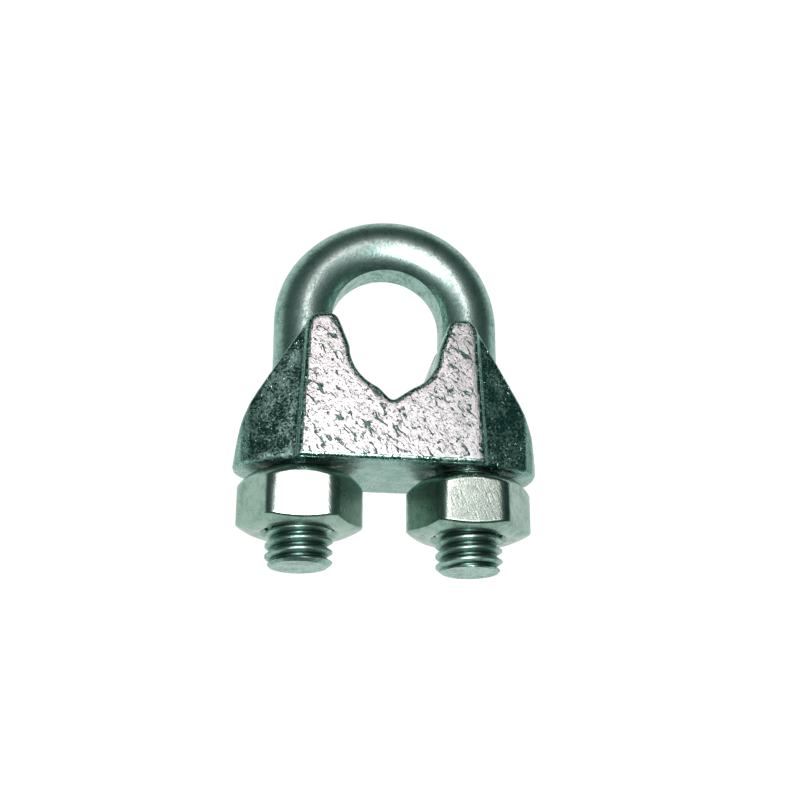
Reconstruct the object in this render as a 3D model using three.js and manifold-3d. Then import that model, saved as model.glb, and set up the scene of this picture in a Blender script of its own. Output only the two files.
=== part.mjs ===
// Wire rope clip: a U-bolt of round bar, a cast saddle and two hexagon nuts.
// Millimetres, +Z up. The clip lies on the back face of its saddle: +Y runs towards
// the bow of the U-bolt, -Y towards the leg ends, and the rope would run along Z.
import * as THREE from 'three';
import { mergeGeometries, mergeVertices } from 'three/addons/utils/BufferGeometryUtils.js';
import Module from 'manifold-3d';

// U-bolt
const LEG_SPACING = 19.7; // centre to centre
const ROD_RADIUS = 3.65;
const CLIP_LENGTH = 43.6; // leg ends to the top of the bow
const END_CHAMFER = 0.6;

// M8 x 1.25 right-hand thread
const PITCH = 1.25;
const THREAD_LENGTH = 16.25;
const THREAD_CREST = 3.9; // radius
const THREAD_ROOT = 3.25; // radius
const THREAD_CLEARANCE = 0.3; // radial, nut thread over leg thread
const FLANK_SHARE = 0.36; // of the pitch, taken by each flank
const CREST_SHARE = 0.14; // of the pitch, taken by the flat of the crest
const SPARE_TURNS = 3; // a screw is made longer than the piece it is cut to

// nuts
const NUT_ACROSS_FLATS = 13;
const NUT_HEIGHT = 6.5;
const NUT_FACE_RADIUS = 5.9; // flat ring left by the chamfer on the saddle side
const NUT_CHAMFER = THREE.MathUtils.degToRad(36);
const NUT_END_RADIUS = 5.4; // flat ring left by the shallower chamfer on the leg end side
const NUT_END_CHAMFER = THREE.MathUtils.degToRad(20.5);
const NUT_COUNTERSINK = 4.5; // radius at the face
const NUT_TO_LEG_END = 3.9;
const NUT_TO_SADDLE = 0.6;
const LEFT_NUT_TURN = THREE.MathUtils.degToRad(-1.7);
const RIGHT_NUT_TURN = THREE.MathUtils.degToRad(-4);

// saddle
const SADDLE_DEPTH = 14.5; // along the rope
const SADDLE_HALF_WIDTH = 17.8;
const NOSE_TOP = [17, 5.9];
const NOSE_EASE = 2.8;
const HORN_TOP = 17.6; // above the underside
const HORN_OUTER = 9.25;
const HORN_INNER = 6.7;
const HORN_EASE = 0.9;
const SEAT_RADIUS = 5.2; // takes a 10 mm rope
const SEAT_CENTRE = 13.6; // above the underside
const NOTCH_HALF_WIDTH = 1.9;
const NOTCH_BOTTOM = 7.15; // above the underside
const NOTCH_EASE = 0.5;
const BLOCK_TOP_HALF = 9.9; // middle block, at the horn tops
const BLOCK_BOTTOM_HALF = 10.9; // middle block, at the underside
const WING_SETBACK = 0.65; // wing faces behind the faces of the block
const WING_NOSE_Z = 3.6; // where a wing face would meet the end of the wing
const WING_NOSE_EASE = 3.5;
const EDGE_ROUND = 0.6;
const LEG_HOLE_RADIUS = 4.3;

// smoothness
const STEPS_AROUND = 20; // rod and thread
const BOW_STEP = 1.3; // along the rod, about
const CURVE_POINTS = 4;
const BEVEL_STEPS = 3;
const SEAT_POINTS = 7;
const HOLE_STEPS = 32;
const CHAMFER_STEPS = 48;

// how solids are joined and cut
const WELD = 1e-4; // points nearer than this are one point
const INSIDE = 0.01; // how far a piece stays inside the one it is joined to
const BEYOND = 1; // how far a cutting shape reaches past what it cuts

const HALF_SPACING = LEG_SPACING / 2;
const RUN_OUT_RADIUS = ROD_RADIUS * Math.cos(Math.PI / STEPS_AROUND) - INSIDE;
const LEG_END_Y = -CLIP_LENGTH / 2;
const BOW_CENTRE_Y = CLIP_LENGTH / 2 - HALF_SPACING - ROD_RADIUS;
const NUT_Y = LEG_END_Y + NUT_TO_LEG_END + NUT_HEIGHT / 2;
const UNDERSIDE_Y = NUT_Y + NUT_HEIGHT / 2 + NUT_TO_SADDLE;
const MID_Z = SADDLE_DEPTH / 2;

const wasm = await Module();
wasm.setup();

const zinc = (colour, roughness) =>
  new THREE.MeshStandardMaterial({ color: colour, roughness, metalness: 1 });

function toSolid(geometry) {
  const bare = geometry.clone();
  bare.deleteAttribute('normal');
  bare.deleteAttribute('uv');
  const merged = mergeVertices(bare, WELD);
  return new wasm.Manifold(new wasm.Mesh({
    numProp: 3,
    vertProperties: new Float32Array(merged.attributes.position.array),
    triVerts: new Uint32Array(merged.index.array),
  }));
}

function toMesh(solid, name, material) {
  const { vertProperties, triVerts } = solid.getMesh();
  const geometry = new THREE.BufferGeometry();
  geometry.setAttribute('position', new THREE.BufferAttribute(new Float32Array(vertProperties), 3));
  geometry.setIndex(new THREE.BufferAttribute(new Uint32Array(triVerts), 1));
  geometry.computeVertexNormals();
  const mesh = new THREE.Mesh(geometry, material);
  mesh.name = name;
  return mesh;
}

// A closed outline from corners [x, y, ease]: each corner is rounded off by a curve
// that starts and ends `ease` away from it along the neighbouring straight sides.
function easedOutline(shape, corners) {
  const away = (from, towards, ease) => {
    const start = new THREE.Vector2(from[0], from[1]);
    const side = new THREE.Vector2(towards[0], towards[1]).sub(start);
    return start.add(side.setLength(ease));
  };
  corners.forEach((corner, i) => {
    const before = corners[(i + corners.length - 1) % corners.length];
    const after = corners[(i + 1) % corners.length];
    const start = away(corner, before, corner[2]);
    const end = away(corner, after, corner[2]);
    if (i === 0) shape.moveTo(start.x, start.y);
    else shape.lineTo(start.x, start.y);
    if (corner[2] > 0) shape.quadraticCurveTo(corner[0], corner[1], end.x, end.y);
  });
  return shape;
}

const mirrored = (corners) => corners.map(([x, y, ease]) => [-x, y, ease]).reverse();

// Centre line of the plain part of the rod: up one leg, round the bow, down the other.
class RodLine extends THREE.Curve {
  constructor(straight) {
    super();
    this.straight = straight;
    this.length = 2 * straight + Math.PI * HALF_SPACING;
  }

  getPoint(t, target = new THREE.Vector3()) {
    const along = t * this.length;
    const bend = (along - this.straight) / HALF_SPACING;
    if (bend <= 0) return target.set(-HALF_SPACING, BOW_CENTRE_Y - this.straight + along, 0);
    if (bend >= Math.PI) {
      return target.set(HALF_SPACING, BOW_CENTRE_Y + this.length - this.straight - along, 0);
    }
    return target.set(-HALF_SPACING * Math.cos(bend), BOW_CENTRE_Y + HALF_SPACING * Math.sin(bend), 0);
  }
}

function plainRod() {
  const straight = BOW_CENTRE_Y - LEG_END_Y - THREAD_LENGTH;
  const line = new RodLine(straight);
  const section = new THREE.Shape();
  section.absarc(0, 0, ROD_RADIUS, 0, 2 * Math.PI);
  return toSolid(new THREE.ExtrudeGeometry(section, {
    steps: 2 * Math.round(line.length / BOW_STEP / 2),
    curveSegments: STEPS_AROUND / 2,
    extrudePath: line,
    bevelEnabled: false,
  }));
}

// A right-hand screw about Y, from y = 0 up: a sheet wound round as a helix, each turn
// meeting the next one, with a fan of triangles closing each end.
// `fade` gives 0 to 1 along y, where 0 leaves the screw at `plainRadius`.
function screw(crest, root, turns, plainRadius, fade) {
  const crestEnd = FLANK_SHARE + CREST_SHARE;
  const profile = [
    [0, root], [FLANK_SHARE, crest], [crestEnd, crest], [crestEnd + FLANK_SHARE, root], [1, root],
  ];
  const stepsAlong = turns * STEPS_AROUND;
  const place = (step, across) => {
    const [rise, radius] = profile[across];
    const angle = (2 * Math.PI * step) / STEPS_AROUND;
    const y = PITCH * (step / STEPS_AROUND + rise);
    const faded = THREE.MathUtils.lerp(plainRadius, radius, fade(y));
    return new THREE.Vector3(faded * Math.sin(angle), y, faded * Math.cos(angle));
  };

  const last = profile.length - 1;
  const sheet = new THREE.PlaneGeometry(1, 1, stepsAlong, last);
  for (let across = 0; across <= last; across += 1) {
    for (let step = 0; step <= stepsAlong; step += 1) {
      sheet.attributes.position.setXYZ(
        across * (stepsAlong + 1) + step,
        ...place(step, last - across),
      );
    }
  }

  const bottomRim = [];
  for (let across = 0; across <= last; across += 1) bottomRim.push(place(0, across));
  for (let step = STEPS_AROUND - 1; step >= 0; step -= 1) bottomRim.push(place(step, 0));
  const topRim = [];
  for (let across = last; across >= 0; across -= 1) topRim.push(place(stepsAlong, across));
  for (let step = STEPS_AROUND - 1; step >= 0; step -= 1) topRim.push(place(stepsAlong - step, last));
  const fans = [bottomRim, topRim].map((rim) => {
    const fan = new THREE.CircleGeometry(1, rim.length - 1);
    const middle = (rim[0].y + rim[rim.length - 1].y) / 2;
    fan.attributes.position.setXYZ(0, 0, middle, 0);
    rim.forEach((point, i) => fan.attributes.position.setXYZ(i + 1, point.x, point.y, point.z));
    return fan;
  });
  return toSolid(mergeGeometries([sheet, ...fans]));
}

// One threaded leg about its own axis, leg end at y = 0. The thread runs out into the
// plain rod over its last turn, and the end of the leg is chamfered.
function threadedLeg() {
  const overlap = 0.6;
  const top = THREAD_LENGTH + overlap;
  const fade = (y) => THREE.MathUtils.clamp((THREAD_LENGTH - y) / PITCH, 0, 1);
  const turns = Math.ceil(top / PITCH) + SPARE_TURNS;
  const thread = screw(THREAD_CREST, THREAD_ROOT, turns, RUN_OUT_RADIUS, (y) => fade(y - PITCH))
    .translate(0, -PITCH, 0);
  const outer = THREAD_CREST + BEYOND;
  const end = THREAD_CREST - END_CHAMFER;
  const envelope = [[0, 0], [end, 0], [outer, outer - end], [outer, top], [0, top]];
  const blank = new THREE.LatheGeometry(envelope.map(([r, y]) => new THREE.Vector2(r, y)), HOLE_STEPS);
  return thread.intersect(toSolid(blank));
}

// Round bar bent into a U, both legs threaded from their ends.
function uBolt() {
  let bolt = plainRod();
  for (const x of [-HALF_SPACING, HALF_SPACING]) {
    bolt = bolt.add(threadedLeg().translate(x, LEG_END_Y, 0));
  }
  return toMesh(bolt.translate(0, 0, MID_Z), 'u_bolt', zinc(0x9fb3aa, 0.3));
}

// Hexagon nut chamfered on both faces, less on the face towards the leg end, its thread
// in step with the thread of the leg.
function nut(name, x, turn) {
  const half = NUT_HEIGHT / 2;
  const cornerRadius = NUT_ACROSS_FLATS / Math.sqrt(3);
  const hexagon = new THREE.CylinderGeometry(cornerRadius, cornerRadius, NUT_HEIGHT, 6);
  hexagon.rotateY(Math.PI / 6 + turn);
  const outer = cornerRadius + BEYOND;
  const drop = (outer - NUT_FACE_RADIUS) * Math.tan(NUT_CHAMFER);
  const endDrop = (outer - NUT_END_RADIUS) * Math.tan(NUT_END_CHAMFER);
  const envelope = [
    [0, -half], [NUT_END_RADIUS, -half], [outer, endDrop - half],
    [outer, half - drop], [NUT_FACE_RADIUS, half], [0, half],
  ];
  const chamfers = new THREE.LatheGeometry(envelope.map(([r, y]) => new THREE.Vector2(r, y)), CHAMFER_STEPS);

  const crest = THREAD_CREST + THREAD_CLEARANCE;
  const root = THREAD_ROOT + THREAD_CLEARANCE;
  const turns = Math.ceil(NUT_HEIGHT / PITCH) + SPARE_TURNS;
  const fromLegEnd = NUT_TO_LEG_END % PITCH;
  const tap = screw(crest, root, turns, crest, () => 1).translate(0, -half - fromLegEnd - PITCH, 0);

  const depth = NUT_COUNTERSINK - root;
  const cone = (side) => {
    const beyond = 0.2;
    const height = depth + 2 * beyond;
    const countersink = new THREE.CylinderGeometry(
      NUT_COUNTERSINK + beyond, root - beyond, height, HOLE_STEPS,
    );
    if (side < 0) countersink.rotateX(Math.PI);
    countersink.translate(0, side * (half + beyond - height / 2), 0);
    return toSolid(countersink);
  };
  const solid = toSolid(hexagon)
    .intersect(toSolid(chamfers))
    .subtract(tap)
    .subtract(cone(1))
    .subtract(cone(-1));
  const mesh = toMesh(solid, name, zinc(0xa3b8ae, 0.35));
  mesh.position.set(x, NUT_Y, MID_Z);
  return mesh;
}

// Outline of the saddle across the rope: flat underside, wings sloping up from rounded
// noses to the horns, and between the horns a round seat with a notch in its bottom.
function saddleFront() {
  const side = [
    [SADDLE_HALF_WIDTH, 0, 0],
    [...NOSE_TOP, NOSE_EASE],
    [HORN_OUTER, HORN_TOP, HORN_EASE],
    [HORN_INNER, HORN_TOP, HORN_EASE],
  ];
  const notchAngle = Math.asin(NOTCH_HALF_WIDTH / SEAT_RADIUS);
  const seat = [];
  for (let i = 0; i <= SEAT_POINTS; i += 1) {
    const angle = THREE.MathUtils.lerp(Math.PI / 2, notchAngle, i / SEAT_POINTS);
    seat.push([SEAT_RADIUS * Math.sin(angle), SEAT_CENTRE - SEAT_RADIUS * Math.cos(angle), 0]);
  }
  const rightHalf = [...side, ...seat];
  const outline = [...rightHalf, [0, NOTCH_BOTTOM, NOTCH_EASE], ...mirrored(rightHalf)];
  return easedOutline(new THREE.Shape(), outline);
}

// Outline of the wings seen along the legs: faces that run in from the middle block to
// a rounded nose at each end.
function wingPlan() {
  const face = MID_Z - WING_SETBACK;
  const right = [
    [BLOCK_TOP_HALF, -face, 0],
    [SADDLE_HALF_WIDTH, -WING_NOSE_Z, WING_NOSE_EASE],
    [SADDLE_HALF_WIDTH, WING_NOSE_Z, WING_NOSE_EASE],
    [BLOCK_TOP_HALF, face, 0],
  ];
  return easedOutline(new THREE.Shape(), [...right, ...mirrored(right)]);
}

// Front view of the middle block that stands proud of the wings.
function blockFront() {
  const right = [
    [BLOCK_BOTTOM_HALF, -BEYOND, 0],
    [BLOCK_TOP_HALF, HORN_TOP + BEYOND, 0],
  ];
  return easedOutline(new THREE.Shape(), [...right, ...mirrored(right)]);
}

// An outline given thickness about z = 0, its edges rounded inside the outline.
function roundedPlate(shape, thickness) {
  const plate = new THREE.ExtrudeGeometry(shape, {
    depth: thickness - 2 * EDGE_ROUND,
    bevelThickness: EDGE_ROUND,
    bevelSize: EDGE_ROUND,
    bevelOffset: -EDGE_ROUND,
    bevelSegments: BEVEL_STEPS,
    curveSegments: CURVE_POINTS,
  });
  return plate.translate(0, 0, EDGE_ROUND - thickness / 2);
}

// The cast saddle: wings and middle block, cut to the outline across the rope, with a
// hole for each leg of the U-bolt.
function saddle() {
  const wingHeight = 2 * HORN_TOP;
  const wings = roundedPlate(wingPlan(), wingHeight);
  wings.rotateX(-Math.PI / 2);
  wings.translate(0, wingHeight / 2, 0);
  const block = roundedPlate(blockFront(), SADDLE_DEPTH);
  const front = roundedPlate(saddleFront(), SADDLE_DEPTH);

  let solid = toSolid(wings).add(toSolid(block)).intersect(toSolid(front));
  for (const x of [-HALF_SPACING, HALF_SPACING]) {
    const hole = new THREE.CylinderGeometry(LEG_HOLE_RADIUS, LEG_HOLE_RADIUS, 3 * HORN_TOP, HOLE_STEPS);
    hole.translate(x, 0, 0);
    solid = solid.subtract(toSolid(hole));
  }
  const mesh = toMesh(solid, 'saddle', zinc(0xa8bcb2, 0.5));
  mesh.position.set(0, UNDERSIDE_Y, MID_Z);
  return mesh;
}

const clip = new THREE.Group();
clip.name = 'wire_rope_clip';
clip.add(
  saddle(),
  uBolt(),
  nut('nut_left', -HALF_SPACING, LEFT_NUT_TURN),
  nut('nut_right', HALF_SPACING, RIGHT_NUT_TURN),
);

export default clip;
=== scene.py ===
import math

import bmesh
import bpy
from mathutils import Matrix, Vector


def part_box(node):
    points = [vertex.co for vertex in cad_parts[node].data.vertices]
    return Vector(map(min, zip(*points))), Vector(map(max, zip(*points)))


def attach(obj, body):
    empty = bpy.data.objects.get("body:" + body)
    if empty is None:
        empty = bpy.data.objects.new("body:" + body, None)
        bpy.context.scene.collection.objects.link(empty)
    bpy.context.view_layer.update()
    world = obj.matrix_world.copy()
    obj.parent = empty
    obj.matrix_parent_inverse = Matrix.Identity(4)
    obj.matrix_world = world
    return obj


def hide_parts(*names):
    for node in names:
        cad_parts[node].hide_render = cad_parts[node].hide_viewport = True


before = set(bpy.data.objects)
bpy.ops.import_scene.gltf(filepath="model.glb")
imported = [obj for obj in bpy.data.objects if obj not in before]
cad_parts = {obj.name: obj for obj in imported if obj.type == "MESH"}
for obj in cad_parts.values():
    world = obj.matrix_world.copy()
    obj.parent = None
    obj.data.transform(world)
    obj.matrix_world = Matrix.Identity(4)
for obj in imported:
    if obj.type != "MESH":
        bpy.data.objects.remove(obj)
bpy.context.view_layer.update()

# ---------------------------------------------------------------- U-bolt
# One round steel bar bent into a U. A right-hand thread, made here as M8 x 1.25, is rolled
# on each leg from its sawn end, so the crests stand proud of the plain bar. Zinc coated.
MM = 0.001
PITCH = 1.25 * MM
CREST = 3.88 * MM
ROOT = 3.24 * MM
BAR = 3.65 * MM
LEG_END_RADIUS = 3.35 * MM
THREAD_LENGTH = 16.25 * MM
THREAD_STEPS = 44  # round one turn
THREAD_POINTS = 12  # along one pitch
BAR_STEPS = 72
FORMER_FLAT = 0.13  # share of the bar's radius pressed flat inside the bow
BOW_LEAN = 0.26 * MM

bolt_low, bolt_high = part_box("u_bolt")
leg_x = [sum(corner.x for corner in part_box(node)) / 2 for node in ("nut_left", "nut_right")]
axis_z = (bolt_low.z + bolt_high.z) / 2
leg_end = bolt_low.y
thread_top = leg_end + THREAD_LENGTH
bow_radius = (leg_x[1] - leg_x[0]) / 2
bow_y = bolt_high.y - bow_radius - BAR


def add_piece(name, bm, merge=1e-6, sharp=math.radians(32)):
    """A mesh object at the origin, smooth except across edges sharper than `sharp`."""
    bmesh.ops.remove_doubles(bm, verts=bm.verts, dist=merge)
    bmesh.ops.recalc_face_normals(bm, faces=bm.faces)
    for face in bm.faces:
        face.smooth = True
    for edge in bm.edges:
        edge.smooth = edge.calc_face_angle(math.pi) < sharp
    mesh = bpy.data.meshes.new(name)
    bm.to_mesh(mesh)
    bm.free()
    piece = bpy.data.objects.new(name, mesh)
    bpy.context.scene.collection.objects.link(piece)
    return piece


def thread_leg(bm, x, start):
    """A threaded leg about the line x, axis_z: one pitch of profile spun up as a screw."""
    old = set(bm.verts)
    profile = []
    for i in range(THREAD_POINTS + 1):
        rise = i / THREAD_POINTS
        from_crest = abs(2 * rise - 1)
        depth = min(max((from_crest - 0.16) / 0.68, 0), 1)
        radius = CREST - (CREST - ROOT) * depth
        profile.append(bm.verts.new((x + radius, leg_end + PITCH * (rise - 2 + start), axis_z)))
    edges = [bm.edges.new(pair) for pair in zip(profile, profile[1:])]
    turns = math.ceil(THREAD_LENGTH / PITCH) + 4
    bmesh.ops.spin(
        bm, geom=profile + edges, cent=(x, 0, axis_z), axis=(0, 1, 0),
        dvec=(0, PITCH / THREAD_STEPS, 0), angle=2 * math.pi * turns, steps=THREAD_STEPS * turns,
    )
    leg = [v for v in bm.verts if v not in old]
    bmesh.ops.remove_doubles(bm, verts=leg, dist=2e-6)
    leg = [v for v in bm.verts if v not in old]
    for v in leg:
        out = Vector((v.co.x - x, 0, v.co.z - axis_z))
        depth = min(max((thread_top - v.co.y) / (1.5 * PITCH), 0), 1)
        plain = BAR - 0.03 * MM
        radius = plain + (out.length - plain) * depth
        radius = min(radius, LEG_END_RADIUS + max(v.co.y - leg_end, -MM))
        out.length = radius
        v.co.x, v.co.z = x + out.x, axis_z + out.z
    for y, side in ((leg_end, 1), (thread_top + 0.5 * MM, -1)):
        leg = {v for v in bm.verts if v not in old}
        faces = {f for v in leg for f in v.link_faces}
        edges = {e for v in leg for e in v.link_edges}
        bmesh.ops.bisect_plane(
            bm, geom=[*leg, *edges, *faces], dist=1e-7,
            plane_co=(x, y, axis_z), plane_no=(0, side, 0), clear_inner=True,
        )


def plain_bar(bm):
    """The bar from the top of one thread, round the bow, to the top of the other."""
    turn = Matrix.Translation((leg_x[0], thread_top, axis_z)) @ Matrix.Rotation(math.pi / 2, 4, "X")
    ring = bmesh.ops.create_circle(bm, cap_ends=False, segments=BAR_STEPS, radius=BAR, matrix=turn)
    edges = list({e for v in ring["verts"] for e in v.link_edges})
    up = bmesh.ops.extrude_edge_only(bm, edges=edges)["geom"]
    verts = [g for g in up if isinstance(g, bmesh.types.BMVert)]
    bmesh.ops.translate(bm, verts=verts, vec=(0, bow_y - thread_top, 0))
    edges = [e for e in up if isinstance(e, bmesh.types.BMEdge) and all(v in verts for v in e.verts)]
    bent = bmesh.ops.spin(
        bm, geom=verts + edges, cent=(0, bow_y, axis_z), axis=(0, 0, -1),
        angle=math.pi, steps=72,
    )["geom_last"]
    edges = [g for g in bent if isinstance(g, bmesh.types.BMEdge)]
    down = bmesh.ops.extrude_edge_only(bm, edges=edges)["geom"]
    verts = [g for g in down if isinstance(g, bmesh.types.BMVert)]
    bmesh.ops.translate(bm, verts=verts, vec=(0, thread_top - bow_y, 0))


bm = bmesh.new()
thread_leg(bm, leg_x[0], 0.92)
thread_leg(bm, leg_x[1], 0.55)
plain_bar(bm)
bmesh.ops.holes_fill(bm, edges=[e for e in bm.edges if e.is_boundary], sides=0)

# the bending former pressed a flat on the inside of the bow and left it a little askew
for v in bm.verts:
    spoke = Vector((v.co.x, max(v.co.y - bow_y, 0)))
    if v.co.y < thread_top + MM:
        continue
    bent = min((v.co.y - thread_top) / (8 * MM), 1)
    flat_at = bow_radius - BAR * (1 - FORMER_FLAT * bent)
    if spoke.length < flat_at:
        spoke.length = flat_at
        v.co.x, v.co.y = spoke.x, bow_y + spoke.y if v.co.y > bow_y else v.co.y
    v.co.x += BOW_LEAN * (max(v.co.y - bow_y, 0) / bow_radius) ** 2
bolt = add_piece("bent_bar", bm, sharp=math.radians(28))


class Value:
    """A shader value. Python sums on it lay down Math nodes; node() adds any other node."""

    def __init__(self, tree, socket=None):
        self.tree, self.socket = tree, socket

    def node(self, kind, settings, inputs, output=0):
        made = self.tree.nodes.new(kind)
        for key, value in settings.items():
            setattr(made, key, value)
        for key, value in inputs.items():
            if isinstance(value, Value):
                self.tree.links.new(value.socket, made.inputs[key])
            else:
                made.inputs[key].default_value = value
        return Value(self.tree, made.outputs[output])

    def maths(self, operation, *values):
        return self.node("ShaderNodeMath", {"operation": operation}, dict(enumerate(values)))

    def __add__(self, other):
        return self.maths("ADD", self, other)

    def __sub__(self, other):
        return self.maths("SUBTRACT", self, other)

    def __rsub__(self, other):
        return self.maths("SUBTRACT", other, self)

    def __mul__(self, other):
        return self.maths("MULTIPLY", self, other)

    __radd__, __rmul__ = __add__, __mul__

    def ramp(self, low, high, to_low=0.0, to_high=1.0):
        """This value moved from low..high to to_low..to_high, eased and clamped."""
        return self.node(
            "ShaderNodeMapRange", {"interpolation_type": "SMOOTHSTEP"},
            {0: self, 1: low, 2: high, 3: to_low, 4: to_high},
        )

    def blend(self, first, second):
        """first where this value is 0, second where it is 1: two colours."""
        return self.node(
            "ShaderNodeMix", {"data_type": "RGBA"}, {0: self, 6: first, 7: second}, output=2,
        )


def start_material(name):
    """A new material: its shader node and a Value holding Object coordinates."""
    material = bpy.data.materials.new(name)
    material.use_nodes = True
    shader = material.node_tree.nodes["Principled BSDF"]
    tree = Value(material.node_tree)
    return material, shader, tree.node("ShaderNodeTexCoord", {}, {}, output="Object")


def noise(place, size, detail=2.0, roughness=0.5, distortion=0.0, stretch=(1, 1, 1), turn=(0, 0, 0)):
    """Noise with features about `size` metres across, averaging 0.5."""
    scale = tuple(1 / (size * s) for s in stretch)
    placed = place.node("ShaderNodeMapping", {}, {"Vector": place, "Rotation": turn})
    placed = placed.node("ShaderNodeVectorMath", {"operation": "MULTIPLY"}, {0: placed, 1: scale})
    return place.node(
        "ShaderNodeTexNoise", {"normalize": True},
        {
            "Vector": placed, "Scale": 1.0,
            "Detail": detail, "Roughness": roughness, "Distortion": distortion,
        },
    )


def set_bump(shader, height, depth):
    """Bump from a height of 0 to 1, where 1 is `depth` metres."""
    bump = height.node("ShaderNodeBump", {}, {"Height": height, "Distance": depth, "Strength": 1.0})
    height.tree.links.new(bump.socket, shader.inputs["Normal"])


def set_inputs(shader, tree, **values):
    for key, value in values.items():
        socket = shader.inputs[key.replace("_", " ")]
        if isinstance(value, Value):
            tree.links.new(value.socket, socket)
        else:
            socket.default_value = value


ZINC = (0.27, 0.455, 0.385, 1)
ZINC_DULL = (0.11, 0.24, 0.195, 1)
# painted shade for the grooves between the thread crests
ROOT_PAINTED_SHADE = (0.05, 0.12, 0.095, 1)

bar_zinc, shader, place = start_material("bar_zinc")
grain = noise(place, 0.3 * MM, detail=2, roughness=0.6)
patches = noise(place, 1.6 * MM, detail=4, roughness=0.6, distortion=0.4)
fine = noise(place, 0.14 * MM, detail=1)
scuffs = noise(place, 0.2 * MM, stretch=(1, 4, 4), turn=(0, 0, math.radians(35)), detail=2)
x, y, z = (place.node("ShaderNodeSeparateXYZ", {}, {0: place}, output=i) for i in range(3))
aside = x.maths("ABSOLUTE", x) - leg_x[1]
above = z - axis_z
from_axis = x.maths("SQRT", aside * aside + above * above)
# painted shade: on both legs, from the leg end to the top of the thread, the thread roots get a dark zinc
# colour for the shade in the grooves
root_shade = from_axis.ramp(ROOT, ROOT + 0.4 * MM, 1.0, 0.0) * y.ramp(leg_end + 0.1 * MM, leg_end + 0.3 * MM)
root_shade = root_shade * y.ramp(thread_top - MM, thread_top, 1.0, 0.0)
zinc = (patches * 0.5 + grain * 0.5).ramp(0.36, 0.56).blend(ZINC_DULL, ZINC)
set_inputs(
    shader, bar_zinc.node_tree, Metallic=1.0,
    Base_Color=root_shade.blend(zinc, ROOT_PAINTED_SHADE),
    Roughness=(patches * 0.3 + grain * 0.7).ramp(0.36, 0.64, 0.42, 0.32),
)
set_bump(shader, grain + 0.4 * fine + 0.4 * scuffs.ramp(0.55, 0.75), 0.013 * MM)
bolt.data.materials.append(bar_zinc)
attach(bolt, "u_bolt")
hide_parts("u_bolt")

# ---------------------------------------------------------------- saddle
# The bridge the rope lies in, poured in malleable iron in a sand mould and dipped in
# zinc. Sand grain shows on every face, and all the edges are run soft by the coating.
SADDLE_GRID = 8  # the even mesh has 2 ** 8 cells along the casting's width over SADDLE_FILL
SADDLE_FILL = 0.72
# painted shade inside the pits of the cast face, large and small
PIT_PAINTED_SHADE = (0.04, 0.1, 0.08, 1)
SMALL_PIT_PAINTED_SHADE = (0.15, 0.23, 0.2, 1)
FACE_DULL = (0.28, 0.36, 0.33, 1)
FACE_BRIGHT = (0.37, 0.465, 0.43, 1)
# the wings' zinc, darker than the face's: painted shade for wings turned away from the lamps
WING_SHADED_DARK = (0.09, 0.21, 0.175, 1)
WING_SHADED_BRIGHT = (0.24, 0.44, 0.37, 1)
SEAT_SHIFT = 0.35 * MM  # the seat lies a little to one side, as cast
SEAT_REACH = 8 * MM  # half the width that the shift reaches
SEAT_FOOT = 7 * MM  # above the underside, where the shift starts
BLOCK_HALF = 10.4 * MM  # middle block, half its width at BLOCK_MIDDLE above the underside
BLOCK_MIDDLE = 8.8 * MM
BLOCK_LEAN = 1 / 17.6  # how much narrower each side gets as it rises
FACE_SKIN = 0.02 * MM  # how deep the points of a flat face may lie
FACE_RIM = 0.5 * MM  # beside the step, where the face runs off
STEP_REACH = 1.1 * MM
STEP_DEPTH = 1.6 * MM

saddle_low, saddle_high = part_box("saddle")
half_depth = (saddle_high.z - saddle_low.z) / 2

bm = bmesh.new()
bm.from_mesh(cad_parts["saddle"].data)
for v in bm.verts:
    inside = max(1 - abs(v.co.x) / SEAT_REACH, 0) ** 0.5 if abs(v.co.x) > 1 * MM else 0
    v.co.x += SEAT_SHIFT * inside * min(max((v.co.y - saddle_low.y - SEAT_FOOT) / (2 * MM), 0), 1)
rough_out = add_piece("saddle_rough", bm)
remesh = rough_out.modifiers.new("even mesh", "REMESH")
remesh.mode = "SHARP"
remesh.octree_depth = SADDLE_GRID
remesh.scale = SADDLE_FILL
depsgraph = bpy.context.evaluated_depsgraph_get()
bm = bmesh.new()
bm.from_mesh(rough_out.evaluated_get(depsgraph).data)
bpy.data.objects.remove(rough_out)
casting = add_piece("saddle_casting", bm, sharp=math.pi)

depths = []
aways = []  # from each point to the step between the middle block and a wing
for v in casting.data.vertices:
    side = BLOCK_HALF - BLOCK_LEAN * (v.co.y - saddle_low.y - BLOCK_MIDDLE)
    aways.append(abs(abs(v.co.x) - side))
    depths.append(abs(v.co.z - saddle_low.z - half_depth))
flat = casting.data.attributes.new("flat", "FLOAT", "POINT")
flat.data.foreach_set("value", [
    float(depth > half_depth - FACE_SKIN and away > FACE_RIM) for depth, away in zip(depths, aways)
])
step = casting.vertex_groups.new(name="step")
for number, (depth, away) in enumerate(zip(depths, aways)):
    if away < STEP_REACH and depth > half_depth - STEP_DEPTH:
        step.add([number], min(2 - 2 * away / STEP_REACH, 1), "REPLACE")
for label, group, rounds in (("worn step", "step", 10), ("soft edges", "", 13)):
    soften = casting.modifiers.new(label, "SMOOTH")
    soften.factor = 0.5
    soften.iterations = rounds
    soften.vertex_group = group
uneven = bpy.data.textures.new("mould", "CLOUDS")
uneven.noise_scale = 1.6 * MM
uneven.noise_depth = 1
waves = casting.modifiers.new("mould waves", "DISPLACE")
waves.texture = uneven
waves.texture_coords = "LOCAL"
waves.mid_level = 0.5
waves.strength = 0.06 * MM

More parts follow.
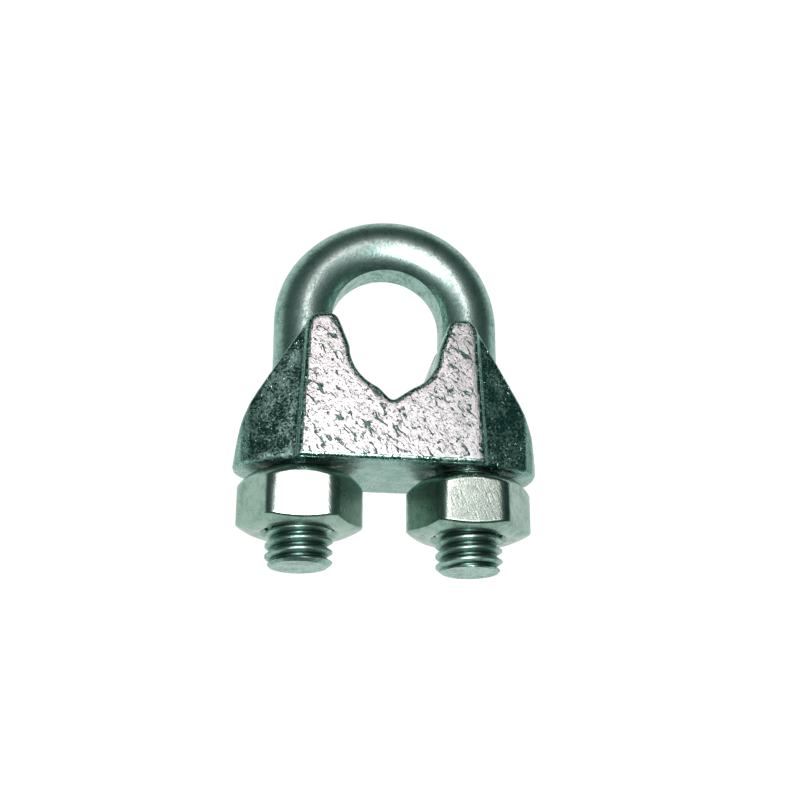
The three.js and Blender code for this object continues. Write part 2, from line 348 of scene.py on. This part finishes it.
cast_zinc, shader, place = start_material("cast_zinc")
flat = place.node("ShaderNodeAttribute", {"attribute_name": "flat"}, {}, output="Fac").ramp(0.45, 1)
diagonal = (0, 0, math.radians(-40))
# painted shade: the pits on the flat face are coloured dark for the shade inside them, on top of the bump
# that sinks them
pits = noise(
    place, 0.62 * MM, detail=4, roughness=0.6, distortion=0.8, stretch=(1, 2.3, 1), turn=diagonal,
).ramp(0.36, 0.44)
small_pits = noise(
    place, 0.3 * MM, detail=2, roughness=0.6, stretch=(1, 1.6, 1), turn=diagonal,
).ramp(0.34, 0.44)
sand = noise(place, 0.27 * MM, detail=3, roughness=0.65, distortion=0.4)
specks = noise(place, 0.42 * MM, detail=1).ramp(0.66, 0.78)
patches = noise(place, 2.2 * MM, detail=3)
face_colour = small_pits.blend(SMALL_PIT_PAINTED_SHADE, sand.ramp(0.36, 0.52).blend(FACE_DULL, FACE_BRIGHT))
# painted shade: off the flat face, the wings take this darker copy of the casting's zinc
shaded_wing_colour = sand.ramp(0.38, 0.6).blend(WING_SHADED_DARK, WING_SHADED_BRIGHT)
set_inputs(
    shader, cast_zinc.node_tree, Metallic=1.0,
    Base_Color=flat.blend(shaded_wing_colour, pits.blend(PIT_PAINTED_SHADE, face_colour)),
    Roughness=flat.maths("MAXIMUM", flat * 0.42, (sand * 0.5 + patches * 0.5).ramp(0.4, 0.6, 0.16, 0.42)),
)
pitted = pits * 0.7 + small_pits * 0.3
set_bump(shader, pitted * (0.15 + 0.85 * flat) + 0.4 * sand + 1.2 * specks * (1 - flat), 0.09 * MM)
casting.data.materials.clear()
casting.data.materials.append(cast_zinc)
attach(casting, "saddle")
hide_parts("saddle")

# ---------------------------------------------------------------- nuts
# Two hexagon nuts, 13 mm across flats, pressed from steel with both faces chamfered and
# the bore countersunk. The same zinc, satin on the flats with light spanner marks.
NUT_FLAT = 6.5 * MM  # axis to flat
NUT_FACE = 5.9 * MM  # flat ring on the saddle side
NUT_CHAMFER = math.radians(36)
NUT_END = 5.4 * MM  # flat ring on the leg end side, with a shallower chamfer
NUT_END_CHAMFER = math.radians(20.5)
NUT_BORE = 3.98 * MM
NUT_SINK = 4.5 * MM
NUT_CORNER_EASE = 0.9 * MM
NUT_EDGE_EASE = 0.6 * MM
NUT_ZINC = (0.27, 0.42, 0.345, 1)
NUT_DULL = (0.17, 0.28, 0.23, 1)
NUT_STEPS = 180


def nut(name, node, turn):
    low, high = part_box(node)
    middle = (low + high) / 2
    half = (high.y - low.y) / 2
    side = math.radians(60)

    def soft_min(first, second, ease):
        """The smaller of two lengths, one running smoothly into the other."""
        near = max(ease - abs(first - second), 0)
        return min(first, second) - near * near / ease / 4

    def hexagon(angle):
        off = (angle - turn + side / 2) % side - side / 2
        return soft_min(NUT_FLAT / math.cos(off), NUT_FLAT / math.cos(side - abs(off)), NUT_CORNER_EASE)

    def outside(height):
        top = NUT_FACE + (half - height) / math.tan(NUT_CHAMFER)
        end = NUT_END + (height + half) / math.tan(NUT_END_CHAMFER)
        return lambda angle: soft_min(hexagon(angle), min(top, end), NUT_EDGE_EASE)

    # each ring: its height above the middle, and its radius at an angle
    rings = [
        (-half + NUT_SINK - NUT_BORE, lambda angle: NUT_BORE),
        (-half, lambda angle: NUT_SINK),
    ]
    steps = [i * 0.1 * MM for i in range(14)]
    for height in [-half + step for step in steps] + [0] + [half - step for step in reversed(steps)]:
        rings.append((height, outside(height)))
    rings += [
        (half, lambda angle: NUT_SINK),
        (half - NUT_SINK + NUT_BORE, lambda angle: NUT_BORE),
    ]
    bm = bmesh.new()
    circle = bmesh.ops.create_circle(bm, cap_ends=False, segments=NUT_STEPS, radius=NUT_BORE)["verts"]
    angles = [math.atan2(v.co.x, v.co.y) for v in circle]
    edges = list({e for v in circle for e in v.link_edges})
    first = edges
    for number, (height, radius) in enumerate(rings):
        if number:
            grown = bmesh.ops.extrude_edge_only(bm, edges=edges)["geom"]
            new = {g for g in grown if isinstance(g, bmesh.types.BMVert)}
            edges = [g for g in grown if isinstance(g, bmesh.types.BMEdge) and set(g.verts) <= new]
            circle = [next(e.other_vert(v) for e in v.link_edges if e.other_vert(v) in new) for v in circle]
        for v, angle in zip(circle, angles):
            r = radius(angle)
            v.co = middle + Vector((r * math.sin(angle), height, r * math.cos(angle)))
    bmesh.ops.bridge_loops(bm, edges=first + edges)
    return add_piece(name, bm, merge=1e-7, sharp=math.radians(35))


def nut_zinc(name, seed, shade_and_gloss):
    material, shader, place = start_material(name)
    shifted = place.node("ShaderNodeVectorMath", {"operation": "ADD"}, {0: place, 1: (seed, seed, seed)})
    grain = noise(shifted, 0.2 * MM, detail=3, roughness=0.6)
    patches = noise(shifted, 1.3 * MM, detail=4, roughness=0.65, distortion=0.5)
    scores = noise(
        shifted, 0.25 * MM, stretch=(1, 7, 1), turn=(0, 0, math.radians(-25)), detail=2, distortion=0.3,
    )
    set_inputs(
        shader, material.node_tree, Metallic=1.0,
        # the last argument darkens the colour, as painted shade, and lowers the roughness
        Base_Color=(patches * 0.6 + grain * 0.4).ramp(0.36 + shade_and_gloss, 0.54 + shade_and_gloss).blend(NUT_DULL, NUT_ZINC),
        Roughness=patches.ramp(0.3, 0.7, 0.31, 0.27) - shade_and_gloss,
    )
    set_bump(shader, 0.6 * grain + scores.ramp(0.3, 0.5) * 0.5 + 0.4 * patches, 0.012 * MM)
    return material


# the right nut's zinc is shifted a little darker, painted shade for flats that lie less in the lamp's
# light, and is made a little smoother
for name, node, turn, seed, shade_and_gloss in (
    ("hex_nut_left", "nut_left", math.radians(-1.7), 0.0, 0.0),
    ("hex_nut_right", "nut_right", math.radians(-4), 0.31, 0.03),
):
    piece = nut(name, node, turn)
    piece.data.materials.append(nut_zinc(name + "_zinc", seed, shade_and_gloss))
    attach(piece, node)
    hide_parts(node)

# ---------------------------------------------------------------- stage
# A sheet under the clip in an unlit room, a soft lamp at the camera and a second one over the bow.
# The sheet's own colour is almost black; it glows instead, a painted pool of light that is bright close to
# the clip and falls off with distance.
SHEET_SIZE = 1.2
ROOM = (0.03, 0.075, 0.07, 1)

bm = bmesh.new()
bmesh.ops.create_grid(bm, x_segments=1, y_segments=1, size=SHEET_SIZE)
bmesh.ops.translate(bm, verts=bm.verts, vec=(0, 0, -0.02 * MM))
sheet = add_piece("sheet", bm)
glowing, shader, place = start_material("glowing_sheet")
distance = place.node("ShaderNodeVectorMath", {"operation": "LENGTH"}, {0: place}, output="Value")
# painted pool of light: the sheet glows white within 70 mm of the clip and fades to the room's colour by
# 220 mm
near = distance.ramp(0.07, 0.22, 1.0, 0.0)
set_inputs(
    shader, glowing.node_tree, Roughness=1.0, Base_Color=(0.01, 0.01, 0.01, 1), Specular_IOR_Level=0.0,
    Emission_Color=near.blend(ROOM, (1, 1, 1, 1)), Emission_Strength=1.05,
)
sheet.data.materials.append(glowing)

world = bpy.data.worlds.new("room")
bpy.context.scene.world = world
world.use_nodes = True
world.node_tree.nodes["Background"].inputs["Color"].default_value = ROOM

TARGET = Vector((0, -3.725, 7.25)) * MM
TO_CAMERA = Vector((-0.125, -0.32, 0.939)).normalized()
CAMERA_DISTANCE = 158.8 * MM
ROLL = math.radians(0.27)

camera = bpy.data.objects.new("camera", bpy.data.cameras.new("camera"))
bpy.context.scene.collection.objects.link(camera)
right = Vector((0, 1, 0)).cross(TO_CAMERA).normalized()
up = TO_CAMERA.cross(right)
right, up = (
    right * math.cos(ROLL) + up * math.sin(ROLL),
    up * math.cos(ROLL) - right * math.sin(ROLL),
)
turn = Matrix((right, up, TO_CAMERA)).transposed().to_4x4()
camera.matrix_world = Matrix.Translation(TARGET + TO_CAMERA * CAMERA_DISTANCE) @ turn
camera.data.lens = 60.3
camera.data.shift_x = 0.0188
camera.data.shift_y = 0.0254
camera.data.clip_start = 5 * MM
bpy.context.scene.camera = camera

# each lamp: where it is, its two sides in mm, colour and watts
for name, at, sides, colour, watts in (
    ("camera_lamp", (-20, -32, 156), (30, 30), (1, 0.78, 0.86), 0.45),
    ("bow_lamp", (-4, 50, 156), (30, 54), (1, 0.63, 0.7), 0.064),
):
    lamp = bpy.data.lights.new(name, "AREA")
    lamp.shape = "ELLIPSE"
    lamp.size, lamp.size_y = sides[0] * MM, sides[1] * MM
    lamp.color = colour
    lamp.energy = watts
    lamp_place = bpy.data.objects.new(name, lamp)
    bpy.context.scene.collection.objects.link(lamp_place)
    lamp_at = Vector(at) * MM
    aim = (TARGET - lamp_at).to_track_quat("-Z", "Y").to_matrix().to_4x4()
    lamp_place.matrix_world = Matrix.Translation(lamp_at) @ aim

bpy.context.scene.view_settings.view_transform = "Standard"
